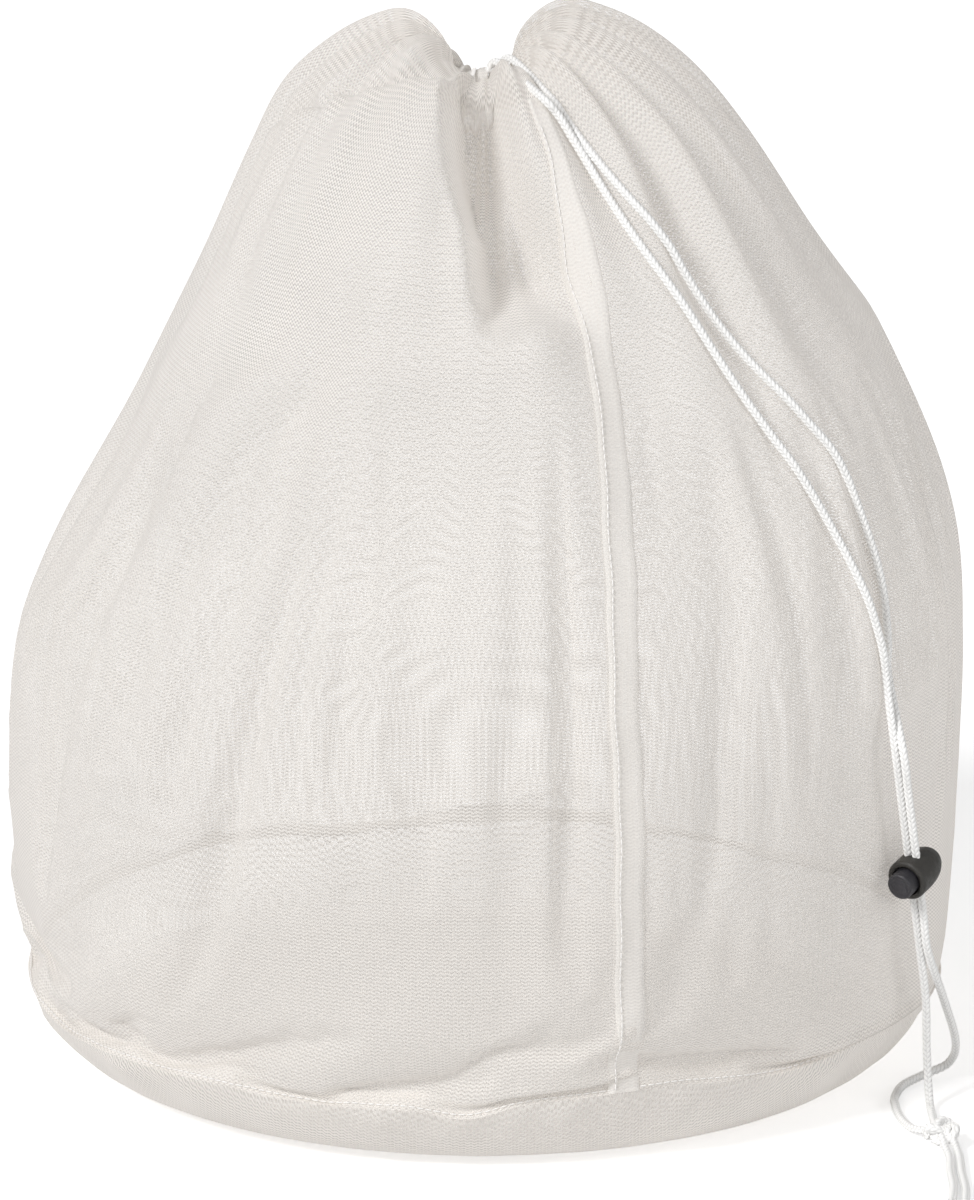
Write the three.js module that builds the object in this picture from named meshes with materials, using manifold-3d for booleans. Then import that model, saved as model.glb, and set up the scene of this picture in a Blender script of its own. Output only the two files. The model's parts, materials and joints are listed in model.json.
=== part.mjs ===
// A drum-shaped mesh laundry bag, drawn shut with a braided cord and a barrel cord lock.
// Millimetres, +Z up, the front is -Y, and the origin is the centre of the base on the floor.
// Azimuths run from the front (-Y) towards +X, in degrees.
import * as THREE from 'three';
import { mergeVertices } from 'three/addons/utils/BufferGeometryUtils.js';
import Module from 'manifold-3d';

// Fabric
const FABRIC = 0.8; // one layer of mesh
const LAYER_GAP = 0.35; // clearance between sewn layers
const COLUMNS = 48; // facets around the wall
const SEAM_AZIMUTH = 16; // the side seam, right of the front
const SEAM_BAND_WIDTH = 11;
const SEAM_HEIGHT = 30.5; // where the base panel meets the wall
const ALLOWANCE_HEIGHT = 10; // doubled band above the base seam
const THREAD = 0.7; // side of a stitch line's square section
const STITCH_LINE_HEIGHT = 1.5; // of the base stitches above the base seam
const BAND_SHARE = 0.42; // most of a facet's width that half the seam band may take

// The wall from the base seam up and over the crest to the drawn-in hem. Lean swells the right
// side and thins the left; dip lowers the front and, more so, the back between the two gathered humps.
const WALL_OUTLINE = [
  { radius: 199.2, height: SEAM_HEIGHT, lean: 0, dip: 0 },
  { radius: 203.5, height: 58, lean: 0, dip: 0 },
  { radius: 205.5, height: 104, lean: 0, dip: 0 },
  { radius: 208.3, height: 160, lean: 0, dip: 0 },
  { radius: 206.5, height: 198, lean: 2, dip: 0 },
  { radius: 195, height: 236, lean: 11, dip: 0 },
  { radius: 179, height: 271, lean: 17, dip: 0 },
  { radius: 156, height: 314, lean: 14, dip: 0 },
  { radius: 131, height: 356, lean: 10, dip: 0 },
  { radius: 108, height: 397, lean: 6, dip: 4 },
  { radius: 88, height: 428, lean: 2, dip: 10 },
  { radius: 66, height: 449, lean: 1, dip: 14 },
  { radius: 50, height: 460, lean: 0, dip: 16 },
  { radius: 39, height: 462, lean: 0, dip: 16 },
  { radius: 31, height: 457, lean: 0, dip: 12 },
  { radius: 27.5, height: 449, lean: 0, dip: 6 },
  { radius: 26.5, height: 441, lean: 0, dip: 0 },
];
const CREST = 13; // the row of WALL_OUTLINE at the top of the humps
const BACK_DIP = 1.3; // how much deeper the dip is at the back, as a share of the front's

// Hem and cord
const HEM_RADIUS = 20;
const HEM_HEIGHT = 440;
const HEM_TUBE = 5;
const HEM_BORE = 3.6;
const HEM_OPENING = 28; // degrees from the seam to each end of the hem channel
const HEM_STEPS = 26;
const BAR_TACK = { width: 1.6, length: 9, height: 1, inset: 4 }; // inset in degrees from the channel's end
const CORD = 1.8; // cord radius
const CORD_PITCH = 4; // distance between the two strands in the lock
const CORD_ON_WALL = 3.7; // from the wall to a strand's centre line
const CORD_ON_FLOOR = 2.1;
const CUT = 0.9; // clearance where one length of cord meets the next
const SLIDE_REACH = [-40, 62]; // the straight stretch that the lock can travel on
const RUN_STEPS = 84;
const TAIL_STEPS = 12;
const END_STEPS = 14;
const KNOT = { halfSize: [8, 9, 5.6], centre: [195.5, -149.4, 6] };

// Cord lock: a barrel, a sprung plunger with a round button, both slotted for the cord
const BARREL_RADIUS = 9.2;
const BARREL_LENGTH = 20;
const BARREL_BORE = 6.4;
const BARREL_BACK = 1.8; // floor of the bore
const BARREL_BULB = [[0, -4], [5.2, -3.4], [7.6, 0.6], [8.8, 6]]; // the closed end, radius and station
const BUTTON_RADIUS = 6;
const BUTTON_TRAVEL = 4;
const BUTTON_START = 6.2; // the plunger's inner end, from the barrel's back
const BUTTON_END = 25.8;
const BUTTON_CHAMFER = 0.9;
const CORD_STATION = 12.5; // the cord's place along the barrel
const SLOT_HALF_WIDTH = 4.2;
const SPRING_RADIUS = 2.6;
const SPRING_WIRE = 0.3;
const SPRING_TURNS = 4;

const wasm = await Module();
wasm.setup();

const bag = new THREE.Group();

const fabric = new THREE.MeshStandardMaterial({ color: 0xe8e4df, roughness: 0.9, metalness: 0 });
const seamFabric = new THREE.MeshStandardMaterial({ color: 0xeeebe6, roughness: 0.9, metalness: 0 });
const thread = new THREE.MeshStandardMaterial({ color: 0xf6f4f0, roughness: 0.7, metalness: 0 });
const cord = new THREE.MeshStandardMaterial({ color: 0xf0eeea, roughness: 0.75, metalness: 0 });
const lockPlastic = new THREE.MeshStandardMaterial({ color: 0x2b2925, roughness: 0.6, metalness: 0 });
const buttonPlastic = new THREE.MeshStandardMaterial({ color: 0x25242a, roughness: 0.5, metalness: 0 });
const springSteel = new THREE.MeshStandardMaterial({ color: 0xb8bcc0, roughness: 0.3, metalness: 1 });

function addPiece(name, geometry, material, parent = bag) {
  const piece = new THREE.Mesh(geometry, material);
  piece.name = name;
  parent.add(piece);
  return piece;
}

function around(radius, azimuth, height) {
  const angle = THREE.MathUtils.degToRad(azimuth);
  return new THREE.Vector3(radius * Math.sin(angle), -radius * Math.cos(angle), height);
}

// ---- Fabric layers ----

function wallCorner(row, azimuth) {
  const angle = THREE.MathUtils.degToRad(azimuth);
  const { radius, height, lean, dip } = WALL_OUTLINE[row];
  const backward = (1 - Math.cos(angle)) / 2;
  const saddle = dip * Math.cos(angle) ** 2 * (1 + BACK_DIP * backward);
  return around(radius + lean * Math.sin(angle), azimuth, height - saddle);
}

function wallNormal(row, azimuth) {
  const below = wallCorner(Math.max(row - 1, 0), azimuth);
  const above = wallCorner(Math.min(row + 1, WALL_OUTLINE.length - 1), azimuth);
  const rise = above.z - below.z;
  const outward = Math.hypot(above.x, above.y) - Math.hypot(below.x, below.y);
  return around(rise, azimuth, -outward).normalize();
}

// A closed sheet between an outer face (side 0) and an inner face (side 1) of a grid of points.
function sheetSolid(pointAt, rows, columns, wraps) {
  const vertices = [];
  const triangles = [];
  const index = (row, column, side) => (row * columns + (column % columns)) * 2 + side;
  for (let row = 0; row < rows; row++) {
    for (let column = 0; column < columns; column++) {
      vertices.push(...pointAt(row, column, 0), ...pointAt(row, column, 1));
    }
  }
  const quad = (a, b, c, d) => triangles.push(a, b, c, a, c, d);
  const spans = wraps ? columns : columns - 1;
  for (let column = 0; column < spans; column++) {
    const next = column + 1;
    for (let row = 0; row < rows - 1; row++) {
      quad(index(row, column, 0), index(row, next, 0), index(row + 1, next, 0), index(row + 1, column, 0));
      quad(index(row, column, 1), index(row + 1, column, 1), index(row + 1, next, 1), index(row, next, 1));
    }
    const top = rows - 1;
    quad(index(0, column, 0), index(0, column, 1), index(0, next, 1), index(0, next, 0));
    quad(index(top, column, 0), index(top, next, 0), index(top, next, 1), index(top, column, 1));
  }
  if (!wraps) {
    const last = columns - 1;
    for (let row = 0; row < rows - 1; row++) {
      quad(index(row, 0, 0), index(row + 1, 0, 0), index(row + 1, 0, 1), index(row, 0, 1));
      quad(index(row, last, 0), index(row, last, 1), index(row + 1, last, 1), index(row + 1, last, 0));
    }
  }
  const geometry = new THREE.BufferGeometry();
  geometry.setAttribute('position', new THREE.Float32BufferAttribute(vertices, 3));
  geometry.setIndex(triangles);
  return geometry;
}

// Columns are set so that the side seam runs up the middle of one facet.
const columnAzimuth = (column) => SEAM_AZIMUTH + ((column + 0.5) * 360) / COLUMNS;

function wallGeometry() {
  const pointAt = (row, column, side) => {
    const azimuth = columnAzimuth(column);
    return wallCorner(row, azimuth).addScaledVector(wallNormal(row, azimuth), -side * FABRIC);
  };
  return sheetSolid(pointAt, WALL_OUTLINE.length, COLUMNS, true);
}

// A strip on the seam's facet, narrowed where the gathers leave less room.
function seamStrip(halfWidth, outerDepth, innerDepth, firstRow, lastRow) {
  const pointAt = (step, column, side) => {
    const row = firstRow + step;
    const left = wallCorner(row, columnAzimuth(-1));
    const right = wallCorner(row, columnAzimuth(0));
    const across = right.clone().sub(left);
    const reach = Math.min(halfWidth, BAND_SHARE * across.length()) * (column ? 1 : -1);
    const middle = left.add(right).multiplyScalar(0.5);
    const depth = side ? innerDepth : outerDepth;
    return middle
      .addScaledVector(across.normalize(), reach)
      .addScaledVector(wallNormal(row, SEAM_AZIMUTH), depth);
  };
  return sheetSolid(pointAt, lastRow - firstRow + 1, 2, false);
}

// A ring parallel to the lowest row of wall facets, between two heights above the base seam.
function baseRing(bottom, top, outerDepth, innerDepth) {
  const rowHeight = WALL_OUTLINE[1].height - WALL_OUTLINE[0].height;
  const pointAt = (row, column, side) => {
    const azimuth = columnAzimuth(column);
    const share = (row ? top : bottom) / rowHeight;
    const onWall = wallCorner(0, azimuth).lerp(wallCorner(1, azimuth), share);
    return onWall.addScaledVector(wallNormal(0, azimuth), side ? innerDepth : outerDepth);
  };
  return sheetSolid(pointAt, 2, COLUMNS, true);
}

function basePanelGeometry() {
  const outline = [
    [0, 0], [165, 0], [181, 6.5], [191, 16.5], [196.8, 25], [198.6, SEAM_HEIGHT - LAYER_GAP],
    [197.8, SEAM_HEIGHT - LAYER_GAP], [196, 25.3], [190.4, 17.1], [180.6, 7.2], [165, FABRIC],
    [0, FABRIC],
  ];
  const profile = outline.map(([radius, height]) => new THREE.Vector2(radius, height));
  const dish = new THREE.LatheGeometry(profile, COLUMNS, THREE.MathUtils.degToRad(columnAzimuth(0)));
  return dish.rotateX(Math.PI / 2);
}

addPiece('base_panel', basePanelGeometry(), fabric);
addPiece('wall', wallGeometry(), fabric);
const liningDepth = FABRIC + LAYER_GAP;
addPiece(
  'base_seam_allowance',
  baseRing(1, ALLOWANCE_HEIGHT, -liningDepth, -liningDepth - FABRIC),
  seamFabric,
);
addPiece(
  'base_seam_thread',
  baseRing(STITCH_LINE_HEIGHT, STITCH_LINE_HEIGHT + THREAD, LAYER_GAP + THREAD, LAYER_GAP),
  thread,
);
const bandDepth = liningDepth + FABRIC + LAYER_GAP;
addPiece(
  'side_seam_band',
  seamStrip(SEAM_BAND_WIDTH / 2, -bandDepth, -bandDepth - FABRIC, 0, CREST),
  seamFabric,
);
const stitchDepth = LAYER_GAP + THREAD + LAYER_GAP;
addPiece(
  'side_seam_thread',
  seamStrip(THREAD / 2, stitchDepth + THREAD, stitchDepth, 0, CREST - 2),
  thread,
);

// ---- Sweeps ----

class RingPath extends THREE.Curve {
  constructor(radius, height, start, end) {
    super();
    this.radius = radius;
    this.height = height;
    this.start = start;
    this.end = end;
  }

  getPoint(t, target = new THREE.Vector3()) {
    return target.copy(around(this.radius, this.start + (this.end - this.start) * t, this.height));
  }
}

class CoilPath extends THREE.Curve {
  constructor(radius, bottom, top, turns) {
    super();
    this.radius = radius;
    this.bottom = bottom;
    this.top = top;
    this.turns = turns;
  }

  getPoint(t, target = new THREE.Vector3()) {
    const angle = t * this.turns * 2 * Math.PI;
    const height = this.bottom + (this.top - this.bottom) * t;
    return target.set(this.radius * Math.cos(angle), this.radius * Math.sin(angle), height);
  }
}

function polygonShape(radius, sides, bore = 0) {
  const corner = (size, side) => {
    const angle = ((side + 0.5) * 2 * Math.PI) / sides;
    return new THREE.Vector2(size * Math.cos(angle), size * Math.sin(angle));
  };
  const corners = (size) => Array.from({ length: sides }, (_, side) => corner(size, side));
  const shape = new THREE.Shape(corners(radius));
  if (bore) {
    shape.holes.push(new THREE.Path(corners(bore).reverse()));
  }
  return shape;
}

function sweep(shape, path, steps) {
  return new THREE.ExtrudeGeometry(shape, { steps, extrudePath: path, curveSegments: 1 });
}

const cordSection = polygonShape(CORD, 6);

// ---- Mouth: the hem channel, its stitching and the loop of cord inside ----

const hemStart = SEAM_AZIMUTH + HEM_OPENING;
const hemEnd = SEAM_AZIMUTH + 360 - HEM_OPENING;
const loopStart = SEAM_AZIMUTH + HEM_OPENING / 2;
const loopEnd = SEAM_AZIMUTH + 360 - HEM_OPENING / 2;

addPiece(
  'hem_channel',
  sweep(
    polygonShape(HEM_TUBE, 8, HEM_BORE),
    new RingPath(HEM_RADIUS, HEM_HEIGHT, hemStart, hemEnd),
    HEM_STEPS,
  ),
  seamFabric,
);
const hemThreadHeight = HEM_HEIGHT - HEM_TUBE - THREAD - LAYER_GAP;
addPiece(
  'hem_thread',
  sweep(polygonShape(THREAD, 4), new RingPath(HEM_RADIUS, hemThreadHeight, hemStart, hemEnd), HEM_STEPS),
  thread,
);
addPiece(
  'cord_loop',
  sweep(cordSection, new RingPath(HEM_RADIUS, HEM_HEIGHT, loopStart, loopEnd), 30),
  cord,
);

function barTack(name, azimuth) {
  const { width, length, height } = BAR_TACK;
  const tack = addPiece(name, new THREE.BoxGeometry(width, length, height), thread);
  tack.position.copy(around(HEM_RADIUS, azimuth, HEM_HEIGHT + HEM_TUBE + LAYER_GAP + height / 2));
  tack.rotation.z = THREE.MathUtils.degToRad(azimuth);
}
barTack('exit_bartack_right', hemStart + BAR_TACK.inset);
barTack('exit_bartack_left', hemEnd - BAR_TACK.inset);

// ---- The lock's own axes ----

// The lock hangs against the wall; its cord slants a little and its barrel lies along the wall.
const lockCentre = new THREE.Vector3(185, -114.7, 112);
const hangDirection = new THREE.Vector3(-0.125, -0.188, 1).normalize();
const alongWall = new THREE.Vector3(lockCentre.y, -lockCentre.x, 0).normalize();
const slant = alongWall.dot(hangDirection);
const barrelDirection = alongWall.clone().addScaledVector(hangDirection, -slant).normalize();
const outDirection = new THREE.Vector3().crossVectors(barrelDirection, hangDirection).normalize();
if (outDirection.dot(lockCentre) < 0) {
  outDirection.negate();
}

function onStrand(strand, distance) {
  const side = strand === 'front' ? -CORD_PITCH / 2 : CORD_PITCH / 2;
  return lockCentre.clone().addScaledVector(outDirection, side).addScaledVector(hangDirection, distance);
}

// ---- Cord: from the hem over the crest, down the wall, through the lock, to the floor ----

// A point that stands off the faceted wall; row may fall between two rows of the outline.
function offWall(row, azimuth) {
  const low = Math.floor(row);
  const high = Math.min(low + 1, WALL_OUTLINE.length - 1);
  const point = wallCorner(low, azimuth).lerp(wallCorner(high, azimuth), row - low);
  const normal = wallNormal(low, azimuth).lerp(wallNormal(high, azimuth), row - low).normalize();
  return point.addScaledVector(normal, CORD_ON_WALL);
}

// Azimuth of each strand where it passes a row of the wall outline, from the crest down.
const STRANDS = {
  front: {
    leaves: -1,
    azimuths: [16, 22.5, 26, 28, 31, 37.5, 43.5, 50, 52.5, 54.5],
    landing: [[190.9, -101, 50], [191.6, -97, 28], [192.4, -97, 11], [193, -102.5, 3.2]],
    lies: [[193.3, -109, CORD_ON_FLOOR]],
    tail: [[193.6, -117, CORD_ON_FLOOR], [194.5, -130, CORD_ON_FLOOR], [195.5, -138, 4]],
    end: [
      [198, -160.5, 4], [199, -171, CORD_ON_FLOOR], [198, -198, CORD_ON_FLOOR],
      [197, -228, CORD_ON_FLOOR],
    ],
  },
  back: {
    leaves: 1,
    azimuths: [23.5, 28.5, 30.5, 32.5, 37, 43.5, 50, 57, 58, 57.8],
    landing: [[198.5, -93, 49], [205, -74, 22], [202.5, -63.5, 8], [192, -66, 3.2], [182, -77, 2.3]],
    lies: [[178, -93, CORD_ON_FLOOR], [178, -101, CORD_ON_FLOOR]],
    tail: [[178.5, -109, CORD_ON_FLOOR], [181, -123, CORD_ON_FLOOR], [185.5, -137, 3.6]],
    end: [
      [203, -159, 4], [205.5, -171, CORD_ON_FLOOR], [206, -198, CORD_ON_FLOOR],
      [204.5, -231, CORD_ON_FLOOR],
    ],
  },
};
function cordSweep(name, points, steps) {
  const stations = points.map((point) => new THREE.Vector3(...point));
  const path = new THREE.CatmullRomCurve3(stations, false, 'centripetal');
  path.arcLengthDivisions = 600;
  addPiece(name, sweep(cordSection, path, steps), cord);
}

for (const [name, strand] of Object.entries(STRANDS)) {
  const cutDegrees = THREE.MathUtils.radToDeg(CUT / HEM_RADIUS);
  const exit = (outward, degrees, rise) =>
    around(HEM_RADIUS + outward, SEAM_AZIMUTH + strand.leaves * degrees, HEM_HEIGHT + rise);
  const run = [
    exit(0, HEM_OPENING / 2 - cutDegrees, 0),
    exit(0.3, HEM_OPENING / 2 - 2 * cutDegrees, 0.4),
    exit(3.2, HEM_OPENING / 4, 4),
  ];
  strand.azimuths.forEach((azimuth, step) => run.push(offWall(CREST - step, azimuth)));
  const straight = [SLIDE_REACH[1], 40, 20, 0, -20, SLIDE_REACH[0]];
  straight.forEach((distance) => run.push(onStrand(name, distance)));
  run.push(...strand.landing, ...strand.lies);
  cordSweep(`cord_run_${name}`, run, RUN_STEPS);
  const [x, y, z] = strand.lies.at(-1);
  const tailStart = new THREE.Vector3(...strand.tail[0]).sub(new THREE.Vector3(x, y, z)).setLength(CUT);
  cordSweep(`cord_tail_${name}`, [[x + tailStart.x, y + tailStart.y, z], ...strand.tail], TAIL_STEPS);
  cordSweep(`cord_end_${name}`, strand.end, END_STEPS);
}

const knot = new THREE.SphereGeometry(1, 16, 10).scale(...KNOT.halfSize);
addPiece('cord_knot', knot, cord).position.set(...KNOT.centre);

// ---- Cord lock ----

// In this group +Z is the barrel's axis towards the button, and +Y is up along the cord.
const lock = new THREE.Group();
const lockAxes = new THREE.Matrix4().makeBasis(
  new THREE.Vector3().crossVectors(hangDirection, barrelDirection),
  hangDirection,
  barrelDirection,
);
lock.quaternion.setFromRotationMatrix(lockAxes);
lock.position.copy(lockCentre).addScaledVector(barrelDirection, -CORD_STATION);
bag.add(lock);

function toSolid(geometry) {
  const bare = geometry.clone();
  bare.deleteAttribute('normal');
  bare.deleteAttribute('uv');
  const merged = mergeVertices(bare, 1e-4);
  return new wasm.Manifold(
    new wasm.Mesh({
      numProp: 3,
      vertProperties: new Float32Array(merged.attributes.position.array),
      triVerts: new Uint32Array(merged.index.array),
    }),
  );
}

function fromSolid(solid) {
  const mesh = solid.getMesh();
  const geometry = new THREE.BufferGeometry();
  geometry.setAttribute('position', new THREE.Float32BufferAttribute(mesh.vertProperties, 3));
  geometry.setIndex(Array.from(mesh.triVerts));
  return geometry;
}

// A body turned about +Z from [radius, height] pairs.
function turned(pairs, segments) {
  const profile = pairs.map(([radius, height]) => new THREE.Vector2(radius, height));
  return new THREE.LatheGeometry(profile, segments).rotateX(Math.PI / 2);
}

function slotted(body, from, to) {
  const slot = new THREE.BoxGeometry(2 * SLOT_HALF_WIDTH, 4 * BARREL_RADIUS, to - from);
  slot.translate(0, 0, (from + to) / 2);
  return fromSolid(toSolid(body).subtract(toSolid(slot)));
}

const CORD_SLACK = 0.15; // between the cord and the slots' ends
const SPRING_SLACK = 0.15; // between the spring and its two seats
const SLOT_SPARE = 0.3; // left in the button's slot when it is pressed home
const cordNear = CORD_STATION - CORD - CORD_SLACK;
const cordFar = CORD_STATION + CORD + CORD_SLACK;
const edge = 1.4; // rounding of the barrel's open end
const barrelBody = turned(
  [
    ...BARREL_BULB, [BARREL_RADIUS, CORD_STATION - CORD], [BARREL_RADIUS, BARREL_LENGTH - edge],
    [BARREL_RADIUS - edge * 0.3, BARREL_LENGTH - edge * 0.3],
    [BARREL_RADIUS - edge, BARREL_LENGTH], [BARREL_BORE, BARREL_LENGTH], [BARREL_BORE, BARREL_BACK],
    [0, BARREL_BACK],
  ],
  28,
);
addPiece('lock_barrel', slotted(barrelBody, cordNear - BUTTON_TRAVEL, cordFar), lockPlastic, lock);

const springSeat = 9.4; // floor of the plunger's spring pocket
const pocketRadius = 3.6;
const plunger = turned(
  [
    [0, springSeat], [pocketRadius, springSeat], [pocketRadius, BUTTON_START],
    [BUTTON_RADIUS, BUTTON_START],
    [BUTTON_RADIUS, BUTTON_END - BUTTON_CHAMFER], [BUTTON_RADIUS - BUTTON_CHAMFER, BUTTON_END],
    [0, BUTTON_END],
  ],
  24,
);
const slotEnd = cordFar + BUTTON_TRAVEL + SLOT_SPARE;
addPiece('lock_button', slotted(plunger, cordNear, slotEnd), buttonPlastic, lock);

const springPath = new CoilPath(
  SPRING_RADIUS,
  BARREL_BACK + SPRING_WIRE + SPRING_SLACK,
  springSeat - SPRING_WIRE - SPRING_SLACK,
  SPRING_TURNS,
);
addPiece('lock_spring', sweep(polygonShape(SPRING_WIRE, 5), springPath, 56), springSteel, lock);

export default bag;
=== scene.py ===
"""A filled mesh laundry bag, drawn shut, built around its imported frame. Shapes are worked out in
millimetres and turned into metres when a mesh is made. Azimuths run from the front towards +X."""

import json
import math

import bpy
import numpy as np
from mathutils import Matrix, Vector


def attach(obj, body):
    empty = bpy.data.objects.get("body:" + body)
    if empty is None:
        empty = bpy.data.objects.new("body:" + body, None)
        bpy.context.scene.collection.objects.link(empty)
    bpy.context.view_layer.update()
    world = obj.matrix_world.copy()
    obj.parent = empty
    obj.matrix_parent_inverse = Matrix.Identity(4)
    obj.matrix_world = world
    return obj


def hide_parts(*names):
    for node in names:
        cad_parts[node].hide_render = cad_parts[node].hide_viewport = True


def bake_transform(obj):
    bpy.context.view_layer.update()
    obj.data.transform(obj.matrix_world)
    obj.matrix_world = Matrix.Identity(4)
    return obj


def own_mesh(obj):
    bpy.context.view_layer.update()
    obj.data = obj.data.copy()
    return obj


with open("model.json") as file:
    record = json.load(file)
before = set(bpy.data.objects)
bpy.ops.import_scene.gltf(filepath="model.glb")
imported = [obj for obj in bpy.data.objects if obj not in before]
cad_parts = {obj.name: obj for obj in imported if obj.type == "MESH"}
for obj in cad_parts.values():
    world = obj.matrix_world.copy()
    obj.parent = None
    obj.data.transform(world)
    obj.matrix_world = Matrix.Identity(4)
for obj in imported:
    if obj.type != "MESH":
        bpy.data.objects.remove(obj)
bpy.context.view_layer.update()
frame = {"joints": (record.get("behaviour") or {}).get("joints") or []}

MM = 0.001

# ---- Sizes from the frame ----
JOINTS = {joint["name"]: joint for joint in frame["joints"]}
FLOOR = 2.1  # centre of a cord on the floor, and the level that does not sink
HEM_LEVEL = 440.0
LOCK_CENTRE = np.array([185.0, -114.7, 112.0])
HANG = np.array(JOINTS["lock_slide"]["axis"])  # up along the cord at the lock
BARREL = -np.array(JOINTS["button_press"]["axis"])  # from the barrel towards its button
OUT = np.cross(BARREL, HANG) * (1 if np.dot(np.cross(BARREL, HANG), LOCK_CENTRE) > 0 else -1)

LOCK_PATH_RADIUS = 205.5  # the wall stays inside this behind the sliding lock
CORD_RADIUS = 1.95
CORD_PITCH = 4.0
SEAM_AZIMUTH = 16.0

# ---- Wall shape ----
SEAM_RADIUS = 199.2
# radius, height, lean to the right, dip at front and back, from the base seam over the crest to the hem
OUTLINE = np.array([
    (SEAM_RADIUS, 30.5, 0, 0), (203.5, 58, 0, 0), (205.5, 104, 0, 0), (208.3, 160, 0, 0), (206.5, 198, 2, 0),
    (195, 236, 11, 0), (179, 271, 17, 0), (156, 314, 14, 0), (131, 356, 10, 0), (108, 397, 6, 4),
    (88, 428, 2, 10), (66, 449, 1, 14), (50, 460, 0, 16), (39, 462, 0, 16), (31, 457, 0, 12),
    (25, 449, 0, 6), (22, 442, 0, 0),
])
BACK_DIP = 1.3  # how much deeper the dip is at the back, as a share of the front's
HEM_TILT = 15.0  # how far the hem's back lies below its front
COLUMNS = 200
ROWS = 120
WEAVE_AROUND = 1300.0  # millimetres of fabric around the wall


def smoothstep(low, high, value):
    share = np.clip((value - low) / (high - low), 0, 1)
    return share * share * (3 - 2 * share)


def bell(value, centre, width):
    return np.exp(-((value - centre) / width) ** 2)


def distances_along(points):
    """How far along a path each of its points lies."""
    steps = np.linalg.norm(np.diff(points, axis=0), axis=1)
    return np.concatenate([[0], np.cumsum(steps)])


def spline(points, count):
    """Catmull-Rom through the points, sampled evenly along its length."""
    points = np.asarray(points, float)
    padded = np.vstack([2 * points[0] - points[1], points, 2 * points[-1] - points[-2]])
    dense = []
    for start in range(len(points) - 1):
        a, b, c, d = padded[start:start + 4]
        for t in np.linspace(0, 1, 24, endpoint=False):
            dense.append(0.5 * (2 * b + (c - a) * t + (2 * a - 5 * b + 4 * c - d) * t ** 2
                                + (3 * b - a - 3 * c + d) * t ** 3))
    dense.append(points[-1])
    dense = np.array(dense)
    along = distances_along(dense[:, :3])
    wanted = np.linspace(0, along[-1], count)
    return np.stack([np.interp(wanted, along, dense[:, k]) for k in range(dense.shape[1])], axis=1)


def wrap(azimuth):
    return (azimuth + 180) % 360 - 180


def seam_height(azimuth):
    """The base seam rises and falls where the bag bears on it."""
    a = wrap(azimuth)
    rise = 3.0 * np.sin(np.radians(2.2 * a + 35)) * np.cos(np.radians(a / 2)) ** 2
    return 31 + rise - 5 * bell(a, -2, 5) + 2.5 * bell(a, 24, 9) + 1.2 * np.sin(np.radians(7 * a))


def pleats(azimuth, count, wander, seed):
    local = np.random.default_rng(seed)
    phase = count * np.radians(azimuth)
    for k in range(2, 7):
        phase = phase + wander / k * np.sin(k * np.radians(azimuth) + local.uniform(0, 6.3))
    return np.cos(phase)


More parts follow.
